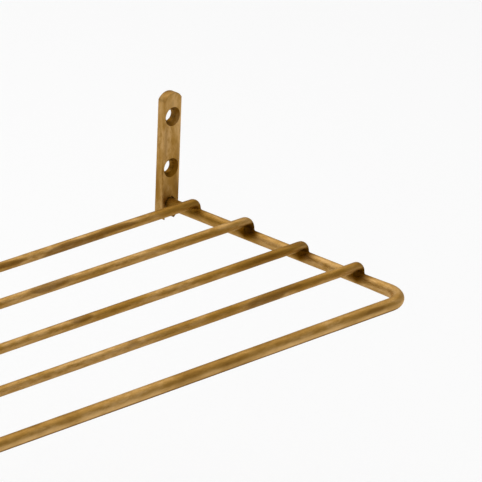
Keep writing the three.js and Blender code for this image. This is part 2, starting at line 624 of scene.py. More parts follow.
class CentreLine:
    """A flat centre line of straight runs joined by round bends."""

    def __init__(self, corners: list[Vector], bend: float) -> None:
        """Lays the runs and bends out.

        Args:
            corners: the line's ends and corners in order.
            bend: bend radius at every corner.
        """
        self.bend = bend
        first = (corners[1] - corners[0]).normalized()
        second = (corners[2] - corners[1]).normalized()
        self.plane = first.cross(second).normalized()
        self.parts: list[tuple[str, Vector, Vector, float]] = []
        start = corners[0]
        for before, corner, after in zip(corners, corners[1:], corners[2:]):
            way_in = (corner - before).normalized()
            way_out = (after - corner).normalized()
            end = corner - way_in * bend
            self.parts.append(("run", start, way_in, (end - start).length))
            self.parts.append(("bend", end, way_in, bend * QUARTER))
            start = corner + way_out * bend
        way = (corners[-1] - start).normalized()
        self.parts.append(("run", start, way, (corners[-1] - start).length))
        self.length = sum(part[3] for part in self.parts)

    def at(self, along: float) -> Station:
        """The station at a distance along the line.

        Args:
            along: distance from the start; past either end the line runs on straight.

        Returns:
            The station.
        """
        rest = along
        for index, (kind, start, way, length) in enumerate(self.parts):
            if rest <= length or index == len(self.parts) - 1:
                break
            rest -= length
        if kind == "run":
            return Station(start + way * rest, way, self.plane, along)
        turn = rest / self.bend
        inward = self.plane.cross(way).normalized()
        centre = start + inward * self.bend
        spot = centre - inward * self.bend * math.cos(turn) + way * self.bend * math.sin(turn)
        tangent = way * math.cos(turn) + inward * math.sin(turn)
        return Station(spot, tangent, self.plane, along)

    def marks(self, step: float, bend_steps: int) -> list[float]:
        """Distances along the line where rings stand.

        Args:
            step: longest gap on a straight run.
            bend_steps: rings in each bend.

        Returns:
            The distances in order, both ends among them.
        """
        made = [0.0]
        for kind, _, _, length in self.parts:
            count = bend_steps if kind == "bend" else max(1, math.ceil(length / step))
            begin = made[-1]
            made.extend(begin + length * (i + 1) / count for i in range(count))
        return made


class RoundBar:
    """A round bar swept ring by ring along its centre line."""

    def __init__(self, line: CentreLine, segments: int, seed: float) -> None:
        """Opens the mesh and its layers.

        Args:
            line: the bar's centre line.
            segments: vertices in a ring.
            seed: where its small unevenness is read.
        """
        self.line = line
        self.segments = segments
        self.seed = seed
        self.bm = bmesh.new()
        layers = self.bm.verts.layers
        self.space = layers.float_vector.new(Space.BAR.value)
        self.rubbed = layers.float.new("rubbed")
        self.crevice = layers.float.new("crevice")
        self.edges: list = []
        self.verts: list = []
        self.last = Matrix.Identity(4)

    def ring(self, along: float, radius: float) -> None:
        """Adds the next ring square to the centre line.

        Args:
            along: distance along the line.
            radius: the bar's radius there.
        """
        station = self.line.at(along)
        matrix = station.matrix(radius)
        if not self.edges:
            made = bmesh.ops.create_circle(
                self.bm, cap_ends=False, segments=self.segments, radius=1.0, matrix=matrix
            )
            self.verts = made["verts"]
            self.edges = list(dict.fromkeys(e for v in self.verts for e in v.link_edges))
        else:
            self.edges, self.verts = extruded(self.bm, self.edges)
            bmesh.ops.transform(self.bm, matrix=matrix @ self.last.inverted(), verts=self.verts)
        self.last = matrix
        back = matrix.inverted()
        for vert in self.verts:
            local = back @ vert.co
            vert[self.space] = Vector((along, local.x * radius, local.y * radius))

    def shaped_ring(self, place: Callable[[Vector], Vector]) -> None:
        """Adds a ring whose vertices go where a function puts them.

        Args:
            place: gives a vertex's place from its bar space.
        """
        self.edges, self.verts = extruded(self.bm, self.edges)
        for vert in self.verts:
            vert.co = place(vert[self.space])

    def shift_pattern(self) -> None:
        """Moves the bar's pattern along, so that no two bars are marked alike."""
        for vert in self.bm.verts:
            vert[self.space] = vert[self.space] + Vector((0.37 * self.seed, 0.0, 0.0))

    def uneven(self, sway: float, swell: float, fade: Callable[[float], float]) -> None:
        """Gives the bar the slight unevenness of hand work.

        Args:
            sway: how far the centre line wanders.
            swell: how far the radius changes.
            fade: strength, from 0 to 1, at a distance along the line.
        """
        moved = {}
        for vert in self.bm.verts:
            along = vert[self.space].x
            station = self.line.at(along)
            strength = fade(along)
            shift = noise.noise_vector(Vector((along * 9.0, self.seed, 0.0))) * sway * strength
            shift -= station.tangent * shift.dot(station.tangent)
            out = vert.co - station.centre
            out -= station.tangent * out.dot(station.tangent)
            spot = vert[self.space] * 55.0 + Vector((0.0, 0.0, self.seed))
            moved[vert] = shift + out.normalized() * noise.noise(spot) * swell * strength
        for vert, shift in moved.items():
            vert.co += shift


# --------------------------------------------------------------------------- the rack


@dataclass(frozen=True)
class Arm:
    """What a cross rod and a bracket need to know of a side arm."""

    x: float
    radius: float

    def surface(self, arc: float, y: float, sunk: float) -> Vector:
        """A point on the arm's skin.

        Args:
            arc: distance round the skin from its top line, outwards on the right hand.
            y: place along the arm.
            sunk: how far under the skin.

        Returns:
            The point.
        """
        angle = arc / self.radius
        reach = self.radius - sunk
        return Vector((self.x + reach * math.sin(angle), y, reach * math.cos(angle)))


@dataclass
class FrameBar:
    """The U-shaped bar: left arm, front bar and right arm, bent from one length."""

    finish: bpy.types.Material
    slot: str
    corner_radius: float = 16 * MM
    front_radius: float = 4 * MM
    arm_radius: float = 3.65 * MM
    taper_length: float = 20 * MM
    pin_depth: float = 3.8 * MM
    segments: int = 40
    step: float = 6 * MM
    bend_steps: int = 14
    nose_rings: int = 8
    sway: float = 0.1 * MM
    swell: float = 0.05 * MM
    seed: float = 4.2
    still_end: Band = Band(6 * MM, 30 * MM)
    # Painted shade and weld soot fade over this distance from each rod's foot.
    weld_soot_and_shade: Band = Band(3.5 * MM, 8 * MM)
    front_run: Band = Band(12 * MM, 6 * MM)
    # Painted sheen on the lower side of the front bar.
    lower_sheen: Band = Band(0.4, 0.3, 0.5)
    # Painted shade under the front bar and on the arms' lower sides.
    underside_shade: Band = Band(-0.32, 0.3, 0.75)
    belly_shade: Band = Band(0.1, 0.6, 0.16)
    corner_wear: float = 0.3
    corner_spread: float = 1.6
    # Painted sheen along the whole front bar.
    front_sheen: float = 0.12
    feet: list[tuple[float, float]] = field(default_factory=list)

    def __post_init__(self) -> None:
        """Reads the bar's place from the frame."""
        low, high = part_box("frame_bar")
        self.arm_x = high.x - self.front_radius
        self.front_y = low.y + self.front_radius
        self.line = CentreLine(
            [
                Vector((-self.arm_x, -self.pin_depth, 0.0)),
                Vector((-self.arm_x, self.front_y, 0.0)),
                Vector((self.arm_x, self.front_y, 0.0)),
                Vector((self.arm_x, -self.pin_depth, 0.0)),
            ],
            self.corner_radius,
        )
        self.arms = {side: Arm(side.value * self.arm_x, self.arm_radius) for side in Side}

    def radius_at(self, along: float) -> float:
        """The bar's radius at a distance along it, drawn down on the arms."""
        nearer = min(along, self.line.length - along)
        corner = -self.front_y - self.pin_depth - self.corner_radius
        share = min(1.0, max(0.0, (corner - nearer) / self.taper_length))
        return self.front_radius + (self.arm_radius - self.front_radius) * share

    def quiet_ends(self, along: float) -> float:
        """Strength of the unevenness: none where the arms turn in the brackets."""
        return self.still_end.up(min(along, self.line.length - along))

    def build(self) -> bpy.types.Object:
        """Builds and dresses the bar.

        Returns:
            The finished piece.
        """
        bar = RoundBar(self.line, self.segments, self.seed)
        for along in self.line.marks(self.step, self.bend_steps):
            bar.ring(along, self.radius_at(along))
        last = list(bar.verts)
        first = [v for v in bar.bm.verts if v[bar.space].x < NEAR]
        bar.uneven(self.sway, self.swell, self.quiet_ends)
        self._age(bar)
        for ring in (first, last):
            self._ball(bar, ring)
        piece = lay_down(bar.bm, "bent_frame_bar", self.finish)
        return hand_over(piece, Body.RACK, "frame_bar")

    def _ball(self, bar: RoundBar, ring: list) -> None:
        """Closes an arm with the ball that turns in its bracket.

        Args:
            bar: the bar.
            ring: the vertices of its open end.
        """
        edges = edges_among(bar.bm, ring)
        centre = sum((v.co for v in ring), Vector()) / len(ring)
        last = 1.0
        for number in range(1, self.nose_rings):
            angle = QUARTER * number / self.nose_rings
            edges, verts = extruded(bar.bm, edges)
            factor = math.cos(angle) / last
            last = math.cos(angle)
            bmesh.ops.scale(
                bar.bm, vec=(factor, 1.0, factor), verts=verts, space=Matrix.Translation(-centre)
            )
            rise = centre.y + self.arm_radius * math.sin(angle) - verts[0].co.y
            bmesh.ops.translate(bar.bm, vec=(0.0, rise, 0.0), verts=verts)
        closed_to(bar.bm, edges, centre + Vector((0.0, self.arm_radius, 0.0)))

    def _age(self, bar: RoundBar) -> None:
        """Marks rubbed corners, painted sheen on the front bar, and painted shade at weld toes and
        undersides.

        Args:
            bar: the bar.
        """
        for vert in bar.bm.verts:
            arm = self.arms[Side.LEFT if vert.co.x < 0.0 else Side.RIGHT]
            arc = math.atan2(vert.co.x - arm.x, vert.co.z) * arm.radius
            near, soot_and_shade = min((math.hypot(arc, vert.co.y - y), soot_and_shade) for y, soot_and_shade in self.feet)
            # Painted shade with some weld soot, darkest at the rod feet.
            weld = soot_and_shade * (1.0 - self.weld_soot_and_shade.up(near))
            turn = (Vector((arm.x, self.front_y, 0.0)) - vert.co).length
            spread = Band(0.0, self.corner_spread * self.corner_radius)
            corner = self.corner_wear * (1.0 - spread.up(turn))
            front = self.front_run.down(vert.co.y - self.front_y)
            level = vert.co.z / self.front_radius
            # Painted sheen: the front bar lighter along its front and lower side.
            lower_sheen = self.lower_sheen.down(level) if vert.co.y < self.front_y else 0.0
            vert[bar.rubbed] = max(corner, front * (self.front_sheen + lower_sheen))
            # Painted shade under the front bar and on the lower side of the arms.
            belly_shade = self.belly_shade.down(level) * (1.0 - front)
            vert[bar.crevice] = max(weld, self.underside_shade.down(level) * front, belly_shade)


@dataclass
class CrossRod:
    """A cross rod whose ends turn down and are welded on the side arms."""

    number: int
    arms: dict[Side, Arm]
    finish: bpy.types.Material
    slot: str
    bend: float = 4 * MM
    radius: float = 3 * MM
    fillet: float = 1.1 * MM
    segments: int = 36
    step: float = 6 * MM
    bend_steps: int = 10
    foot_rings: int = 6
    fillet_rings: int = 6
    sway: float = 0.09 * MM
    swell: float = 0.045 * MM
    reach: float = 4 * MM
    bend_share: float = 0.62
    search_depth: float = 9 * MM
    search_steps: int = 28
    toe_spread: float = 1.15
    toe_sunk: float = 0.03 * MM
    heart_height: float = 0.65
    # Strength of the painted shade, with some weld soot, under the bent ends.
    soot_and_shade: float = 0.95
    still_end: Band = Band(12 * MM, 30 * MM)
    bend_shade: Band = Band(1.0 * MM, 2.8 * MM)
    end_reach: Band = Band(4 * MM, 9 * MM)
    inner_side: Band = Band(-3.4 * MM, 2.8 * MM)
    outer_share: float = 0.35
    # Painted shade over the tops of the bent ends, toning down their highlight, and along the
    # undersides.
    top_shade: Band = Band(0.0, 2.4 * MM, 0.22)
    underside_shade: Band = Band(0.6 * MM, 2.4 * MM, 0.2)

    def __post_init__(self) -> None:
        """Reads the rod's place from the frame."""
        self.node = f"cross_rod_{self.number}"
        low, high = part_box(self.node)
        self.y = (low.y + high.y) / 2
        self.height = high.z - self.radius
        left, right = self.arms[Side.LEFT].x, self.arms[Side.RIGHT].x
        bent, foot = self.height - self.bend, Vector((0.0, 0.0, self.reach))
        corners = [
            Vector((left, self.y, bent)) - foot,
            Vector((left, self.y, self.height)),
            Vector((right, self.y, self.height)),
            Vector((right, self.y, bent)) - foot,
        ]
        self.line = CentreLine(corners, self.bend)

    def build(self) -> bpy.types.Object:
        """Builds and dresses the rod.

        Returns:
            The finished piece.
        """
        rod = RoundBar(self.line, self.segments, seed=11.0 + 3.7 * self.number)
        bend_length = self.bend * QUARTER
        start = self.reach + bend_length * self.bend_share
        end = self.line.length - start
        marks = [m for m in self.line.marks(self.step, self.bend_steps) if start < m < end]
        for along in (start, *marks, end):
            rod.ring(along, self.radius)
        first = [v for v in rod.bm.verts if abs(v[rod.space].x - start) < NEAR]
        last = list(rod.verts)
        rod.uneven(self.sway, self.swell, self._quiet_ends)
        for ring, side, sign in ((first, Side.LEFT, -1.0), (last, Side.RIGHT, 1.0)):
            rod.verts, rod.edges = ring, edges_among(rod.bm, ring)
            self._foot(rod, self.arms[side], sign)
        self._age(rod)
        rod.shift_pattern()
        piece = lay_down(rod.bm, f"welded_cross_rod_{self.number}", self.finish)
        return hand_over(piece, Body.RACK, self.node)

    def _quiet_ends(self, along: float) -> float:
        """Strength of the unevenness: none at the two feet."""
        return self.still_end.up(min(along, self.line.length - along))

    def _skin(self, along: float, turn: float) -> Vector:
        """A point on the rod's skin, from its distance along and its angle round the ring."""
        spot = Vector((math.cos(turn), math.sin(turn), 0.0))
        return self.line.at(along).matrix(self.radius) @ spot

    def _gap(self, arm: Arm, along: float, turn: float) -> float:
        """Distance from a point on the rod's skin to the arm's skin."""
        spot = self._skin(along, turn)
        return math.hypot(spot.x - arm.x, spot.z) - arm.radius

    def _meet(self, arm: Arm, begin: float, sign: float, turn: float, gap: float) -> float:
        """Finds where a line along the rod's skin comes within a gap of the arm.

        Args:
            arm: the side arm.
            begin: distance along the rod to look from.
            sign: +1 towards the rod's far end, -1 towards its near end.
            turn: angle round the ring.
            gap: the distance wanted.

        Returns:
            The distance along the rod.
        """
        low, high = 0.0, self.search_depth
        for _ in range(self.search_steps):
            middle = (low + high) / 2
            if self._gap(arm, begin + sign * middle, turn) > gap:
                low = middle
            else:
                high = middle
        return begin + sign * low

    def _foot(self, rod: RoundBar, arm: Arm, sign: float) -> None:
        """Runs a rod's end down on to its arm and round it with a weld fillet, closed inside.

        Args:
            rod: the rod, with its open end as the current ring.
            arm: the side arm below.
            sign: +1 at the rod's far end, -1 at its near end.
        """
        begin = rod.verts[0][rod.space].x
        toes = {}
        for vert in rod.verts:
            turn = math.atan2(vert[rod.space].z, vert[rod.space].y)
            above = self._meet(arm, begin, sign, turn, self.fillet)
            touch = self._meet(arm, begin, sign, turn, 0.0)
            toes[round(turn, 4)] = (above, self._skin(above, turn), self._skin(touch, turn))

        def toe_of(space: Vector) -> tuple[float, Vector, Vector]:
            """The stations worked out for a vertex's line."""
            return toes[round(math.atan2(space.z, space.y), 4)]

        for number in range(1, self.foot_rings + 1):
            share = number / self.foot_rings

            def down(space: Vector, share: float = share) -> Vector:
                """A place between the last ring and the start of the fillet."""
                above = toe_of(space)[0]
                turn = math.atan2(space.z, space.y)
                return self._skin(begin + (above - begin) * share, turn)

            rod.shaped_ring(down)
        for number in range(1, self.fillet_rings + 1):
            share = number / self.fillet_rings

            def round_weld(space: Vector, share: float = share) -> Vector:
                """A place on the fillet's hollow curve."""
                _, top, corner = toe_of(space)
                arc = math.atan2(corner.x - arm.x, corner.z) * arm.radius
                away = Vector((arc, corner.y - self.y))
                away.normalize()
                away *= self.fillet * self.toe_spread
                foot = arm.surface(arc + away.x, corner.y + away.y, self.toe_sunk)
                first = top.lerp(corner, share)
                second = corner.lerp(foot, share)
                return first.lerp(second, share)

            rod.shaped_ring(round_weld)
        # Painted shade at the weld toe, where the fillet meets the arm.
        for vert in rod.verts:
            vert[rod.crevice] = 1.0
        closed_to(rod.bm, rod.edges, Vector((arm.x, self.y, self.heart_height * arm.radius)))

    def _age(self, rod: RoundBar) -> None:
        """Marks painted shade under the bent ends, over their tops and along the rods' undersides.

        Args:
            rod: the rod.
        """
        for vert in rod.bm.verts:
            side = Side.LEFT if vert.co.x < 0.0 else Side.RIGHT
            inward = (self.arms[side].x - vert.co.x) * side.value
            level = vert.co.z - self.height
            near = 1.0 - self.end_reach.up(inward)
            shown = self.outer_share + (1.0 - self.outer_share) * self.inner_side.up(inward)
            # Painted shade: under the bent ends, over their tops and along the rods' undersides.
            vert[rod.crevice] = max(
                vert[rod.crevice],
                self.soot_and_shade * self.bend_shade.down(level) * near * shown,
                self.top_shade.up(level) * near,
                self.underside_shade.down(level),
            )


# --------------------------------------------------------------------------- brackets and pins


@dataclass
class WallBracket:
    """A flat bar bracket: rounded ends, two countersunk holes and the slot for the arm."""

    side: Side
    finish: bpy.types.Material
    slot: str
    end_radius: float = 8.8 * MM
    low_end: float = 11.1 * MM
    edge_round: float = 0.8 * MM
    slot_round: float = 0.35 * MM
    hole_heights: tuple[float, float] = (56.9 * MM, 23.5 * MM)
    hole_radius: float = 4 * MM
    sink_radius: float = 6 * MM
    sink_depth: float = 2.2 * MM
    arm_radius: float = 3.65 * MM
    slot_clearance: float = 0.3 * MM
    arch_height: float = 0.6 * MM
    hole_round: float = 0.25 * MM
    hole_edge_share: float = 0.3
    face_margin: float = 0.2 * MM
    back_margin: float = 0.05 * MM
    round_rings: int = 5
    hole_segments: int = 64
    arc_steps: int = 18
    short_steps: int = 4
    cuts_along: tuple[float, ...] = (-5.2 * MM, -2.6 * MM, 2.6 * MM, 5.2 * MM)
    cut_lowest: float = -9 * MM
    cut_step: float = 4 * MM
    cut_count: int = 21
    hole_slack: float = 0.05 * MM
    slot_share: float = 0.62
    slot_top: float = 6 * MM
    edge_rub: Band = Band(4.2 * MM, 2.6 * MM)
    upper_part: Band = Band(46 * MM, 16 * MM)
    lower_part: Band = Band(24 * MM, 22 * MM)
    face_part: Band = Band(-0.6 * MM, 1.2 * MM)
    # Painted shade over the top crown, toning down its highlight.
    crown_shade: Band = Band(-5 * MM, 3 * MM, 0.22)
    crown_back: float = 0.3 * MM
    streak_across: Band = Band(4.6 * MM, 1 * MM, 0.4)
    streak_up: Band = Band(28 * MM, 6 * MM)
    outer_rub: float = 0.9
    inner_rub: Band = Band(46 * MM, 16 * MM, 0.25)
    least_rub: float = 0.05
    low_loss: float = 0.6
    face_rub: float = 0.3
    # Darker towards the bottom of the plate.
    low_darkening: float = 0.36
    cheek_share: float = 0.3
    # Darker inside the screw holes.
    hole_darkening: float = 0.5
    # Painted shade round the arch and in the slot where the arm turns.
    arch_shade: float = 0.4
    slot_shade: float = 0.65
    arch_start: float = 2.5 * MM

    def __post_init__(self) -> None:
        """Reads the bracket's place from the frame."""
        self.node = f"wall_bracket_{self.side.tag}"
        low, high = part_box(self.node)
        self.x = (low.x + high.x) / 2
        self.half = (high.x - low.x) / 2
        self.top, self.bottom = high.z, -self.low_end
        self.front = low.y

    def build(self) -> bpy.types.Object:
        """Builds and dresses the bracket.

        Returns:
            The finished piece.
        """
        bm = bmesh.new()
        layers = bm.verts.layers
        self.out = layers.float_vector.new("outward")
        self.rubbed = layers.float.new("rubbed")
        self.crevice = layers.float.new("crevice")
        outline = self._outline(bm)
        holes = [self._hole_rim(bm, height) for height in self.hole_heights]
        front_loops = [self._walls(bm, outline, outer=True)]
        front_loops += [self._walls(bm, rim, outer=False) for rim in holes]
        for loops in zip(*front_loops):
            self._close_face(bm, loops)
        self._grid(bm)
        bmesh.ops.translate(bm, vec=(self.x, 0.0, 0.0), verts=bm.verts)
        self._age(bm)
        bm.verts.layers.float_vector.remove(self.out)
        piece = lay_down(bm, f"flat_bracket_{self.side.tag}", self.finish)
        weighted = piece.modifiers.new("weighted_normals", "WEIGHTED_NORMAL")
        weighted.keep_sharp = True
        return hand_over(piece, Body.BRACKETS, self.node)

    def _outline(self, bm: bmesh.types.BMesh) -> list:
        """Draws the outline in the plane of the front face, centred on X = 0.

        Args:
            bm: the mesh.

        Returns:
            The loop's edges.
        """
        half = self.half
        drop = self.end_radius - math.sqrt(self.end_radius**2 - half**2)
        spread = math.asin(half / self.end_radius)
        gap = self.arm_radius + self.slot_clearance
        slot_spread = math.asin(gap / self.end_radius)
        low_centre = self.bottom + self.end_radius
        pen = Pen(bm, Vector((half, self.front, self.bottom + drop)))
        pen.line(Vector((half, self.front, self.top - drop)), 1)
        pen.arc(Vector((0.0, self.front, self.top - self.end_radius)), -2 * spread, self.arc_steps)
        pen.line(Vector((-half, self.front, self.bottom + drop)), 1)
        low = Vector((0.0, self.front, low_centre))
        pen.arc(low, -(spread - slot_spread), self.short_steps)
        pen.line(Vector((-gap, self.front, self.arch_height)), self.short_steps)
        pen.arc(Vector((0.0, self.front, self.arch_height)), math.pi, self.arc_steps)
        mouth = low_centre - math.sqrt(self.end_radius**2 - gap**2)
        pen.line(Vector((gap, self.front, mouth)), self.short_steps)
        pen.arc(low, -(spread - slot_spread), self.short_steps)
        edges = pen.close()
        for vert in dict.fromkeys(v for e in edges for v in e.verts):
            inner = abs(vert.co.x) < gap + NEAR and vert.co.z < self.arch_height + gap + NEAR
            depth = self.slot_round if inner else self.edge_round
            vert[self.out] = self._miter(vert, gap) * depth
        return edges

    def _miter(self, vert: bmesh.types.BMVert, gap: float) -> Vector:
        """The way out of the plate at an outline vertex, long enough to keep both edges' inset.

        Args:
            vert: the vertex, with two edges.
            gap: half the slot's width.

        Returns:
            The vector, one long on a straight edge.
        """
        a, b = (e.other_vert(vert).co - vert.co for e in vert.link_edges)
        normals = []
        for way in (a, b):
            side = Vector((way.z, 0.0, -way.x)).normalized()
            probe = vert.co + way / 2 + side * 0.2 * MM
            normals.append(side if self._outside(probe, gap) else -side)
        total = (normals[0] + normals[1]).normalized()
        return total / max(0.5, total.dot(normals[0]))

    def _outside(self, spot: Vector, gap: float) -> bool:
        """Whether a point of the front plane is off the plate."""
        in_slot = abs(spot.x) < gap and spot.z < self.arch_height
        arch = Vector((spot.x, 0.0, spot.z - self.arch_height))
        if in_slot or arch.length < gap:
            return True
        for height, end in ((spot.z, self.top), (-spot.z, -self.bottom)):
            centre = end - self.end_radius
            if height > centre and math.hypot(spot.x, height - centre) > self.end_radius:
                return True
        return abs(spot.x) > self.half

    def _hole_rim(self, bm: bmesh.types.BMesh, height: float) -> list:
        """Draws a hole's front rim.

        Args:
            bm: the mesh.
            height: the hole's height.

        Returns:
            The rim's edges.
        """
        place = Matrix.Translation((0.0, self.front, height)) @ Matrix.Rotation(QUARTER, 4, "X")
        made = bmesh.ops.create_circle(
            bm, cap_ends=False, segments=self.hole_segments, radius=self.sink_radius, matrix=place
        )["verts"]
        for vert in made:
            way = Vector((-vert.co.x, 0.0, height - vert.co.z)).normalized()
            vert[self.out] = way * self.hole_round
        return list(dict.fromkeys(e for v in made for e in v.link_edges))

    def _walls(self, bm: bmesh.types.BMesh, edges: list, outer: bool) -> tuple[list, list]:
        """Raises the side wall of one loop, with its rounded edges.

        Args:
            bm: the mesh.
            edges: the loop, lying in the front plane at its full size.
            outer: whether it is the outline; if not it is a screw hole.

        Returns:
            The loops that bound the front and the back face.
        """
        full = list(dict.fromkeys(v for e in edges for v in e.verts))
        front = self._inset_to_face(bm, edges, full, 1.0 if outer else self.hole_edge_share)
        if not outer:
            return front, self._sink(bm, edges, full)
        loop, sunk = edges, 0.0
        for ring in range(self.round_rings + 1):
            turn = QUARTER * ring / self.round_rings
            inset = 1 - math.cos(turn)
            loop, verts = extruded(bm, loop)
            for vert in verts:
                vert.co.y = -self.edge_round * (1 - math.sin(turn))
                vert.co -= vert[self.out] * (inset - sunk)
            sunk = inset
        return front, self._flat_margin(bm, loop, self.face_margin)

    def _close_face(self, bm: bmesh.types.BMesh, loops: tuple[list, ...]) -> None:
        """Closes a flat face round its holes, as a left and a right half.

        Args:
            bm: the mesh.
            loops: the outline's loop and each hole's, from the top down.
        """
        edges = [e for loop in loops for e in loop]
        middle = [
            sorted(
                dict.fromkeys(v for e in loop for v in e.verts if abs(v.co.x) < NEAR),
                key=lambda v: -v.co.z,
            )
            for loop in loops
        ]
        outer, *inner = middle
        stops = [outer[0], *(v for pair in inner for v in pair), outer[-1]]
        seams = [bm.edges.new(pair) for pair in zip(stops[::2], stops[1::2])]
        for sign in (-1.0, 1.0):
            half = [e for e in edges if sign * (e.verts[0].co.x + e.verts[1].co.x) > 0.0]
            bmesh.ops.contextual_create(bm, geom=half + seams)

    def _grid(self, bm: bmesh.types.BMesh) -> None:
        """Cuts the plate along and across, so that its wear and painted shade can change over its
        faces.
        """
        along, across = Vector((1.0, 0.0, 0.0)), Vector((0.0, 0.0, 1.0))
        heights = [self.cut_lowest + self.cut_step * i for i in range(self.cut_count)]
        cuts = [(along * x, along) for x in self.cuts_along]
        cuts += [(across * z, across) for z in heights]
        for spot, way in cuts:
            parts = [*bm.verts, *bm.edges, *bm.faces]
            bmesh.ops.bisect_plane(bm, geom=parts, dist=NEAR / 10, plane_co=spot, plane_no=way)

    def _inset_to_face(self, bm: bmesh.types.BMesh, edges: list, full: list, size: float) -> list:
        """Rounds the front edge: moves the loop back and steps round to the flat of the face.

        Args:
            bm: the mesh.
            edges: the loop.
            full: its vertices.
            size: how much of the edge radius is used.

        Returns:
            The loop that bounds the flat face.
        """
        depth = self.edge_round * size
        for vert in full:
            vert.co.y = self.front + depth
        loop, sunk = edges, 0.0
        for i in range(1, self.round_rings + 1):
            turn = QUARTER * i / self.round_rings
            loop, verts = extruded(bm, loop)
            inset = 1 - math.cos(turn)
            for vert in verts:
                vert.co.y = self.front + depth * (1 - math.sin(turn))
                vert.co -= vert[self.out] * (inset - sunk)
            sunk = inset
        return self._flat_margin(bm, loop, self.face_margin * size)

    def _flat_margin(self, bm: bmesh.types.BMesh, loop: list, width: float) -> list:
        """Adds a narrow flat strip inside a loop, so that edge wear ends on it."""
        loop, verts = extruded(bm, loop)
        for vert in verts:
            vert.co -= vert[self.out].normalized() * width
        return loop

    def _sink(self, bm: bmesh.types.BMesh, loop: list, full: list) -> list:
        """Runs a screw hole from its rim down its countersink and through the plate.

        Args:
            bm: the mesh.
            loop: the rim.
            full: the rim's vertices.

        Returns:
            The loop that bounds the back face.
        """
        height = sum(v.co.z for v in full) / len(full)
        before = self.sink_radius
        steps = (
            (self.hole_radius + 0.12 * MM, self.front + self.sink_depth - 0.12 * MM),
            (self.hole_radius, self.front + self.sink_depth + 0.1 * MM),
            (self.hole_radius, -0.3 * MM),
            (self.hole_radius + 0.09 * MM, -0.09 * MM),
            (self.hole_radius + 0.3 * MM, 0.0),
        )
        for radius, y in steps:
            loop, verts = extruded(bm, loop)
            bmesh.ops.scale(
                bm,
                vec=(radius / before, 1.0, radius / before),
                verts=verts,
                space=Matrix.Translation((0.0, 0.0, -height)),
            )
            for vert in verts:
                vert.co.y = y
            before = radius
        return self._flat_margin(bm, loop, self.back_margin)

    def _age(self, bm: bmesh.types.BMesh) -> None:
        """Marks rubbed edges, painted shade round the slot and on the crown, and darker holes,
        streak and lower part.

        Args:
            bm: the mesh.
        """
        for vert in bm.verts:
            x, z = vert.co.x - self.x, vert.co.z
            inward = -x * self.side.value
            radial = min(math.hypot(x, z - h) for h in self.hole_heights)
            in_hole = radial < self.sink_radius + self.hole_slack
            near_slot = abs(x) < self.half * self.slot_share and z < self.slot_top
            low, high = self.lower_part.down(z), self.upper_part.up(z)
            face = self.face_part.down(inward - self.half)
            edge = self.outer_rub if inward < 0.0 else self.least_rub + self.inner_rub.up(z)
            edge *= self.edge_rub.up(abs(x)) * (1.0 - self.low_loss * low)
            rub = max(edge, self.face_rub * high * face)
            vert[self.rubbed] = 0.0 if in_hole or near_slot else rub
            streak = self.streak_across.up(inward) * face * self.streak_up.up(z) * (1.0 - high)
            cheek = self.cheek_share + (1.0 - self.cheek_share) * face
            behind = vert.co.y > self.front + self.crown_back
            vert[self.crevice] = max(
                # Darker inside the screw holes.
                self.hole_darkening * in_hole,
                # Painted shade round the arm's slot.
                (self.arch_shade if z > self.arch_start else self.slot_shade) * near_slot,
                # Darker towards the bottom of the plate.
                self.low_darkening * low * cheek,
                streak,
                # Painted shade on the crown, toning down its highlight.
                self.crown_shade.up(z - self.top) * behind,
            )


class Pen:
    """Draws a chain of edges by extruding and spinning its last vertex."""

    def __init__(self, bm: bmesh.types.BMesh, start: Vector) -> None:
        """Puts the pen down.

        Args:
            bm: the mesh.
            start: the first point.
        """
        self.bm = bm
        self.before = set(bm.edges)
        self.first = self.last = bm.verts.new(start)

    def line(self, end: Vector, steps: int) -> None:
        """Draws a straight line in equal steps.

        Args:
            end: where it ends.
            steps: how many edges.
        """
        step = (end - self.last.co) / steps
        for _ in range(steps):
            made = bmesh.ops.extrude_vert_indiv(self.bm, verts=[self.last])
            self.last = made["verts"][0]
            bmesh.ops.translate(self.bm, vec=step, verts=[self.last])

    def arc(self, centre: Vector, angle: float, steps: int) -> None:
        """Draws an arc in the XZ plane by spinning the last vertex.

        Args:
            centre: the arc's centre.
            angle: how far it turns about +Y.
            steps: how many edges.
        """
        made = bmesh.ops.spin(
            self.bm,
            geom=[self.last],
            cent=centre,
            axis=(0.0, 1.0, 0.0),
            angle=angle,
            steps=steps,
            use_duplicate=False,
        )
        self.last = next(v for v in made["geom_last"] if isinstance(v, bmesh.types.BMVert))

    def close(self) -> list:
        """Welds the last point on the first.

        Returns:
            The closed loop's edges.
        """
        bmesh.ops.pointmerge(self.bm, verts=[self.first, self.last], merge_co=self.first.co)
        return [e for e in self.bm.edges if e not in self.before]


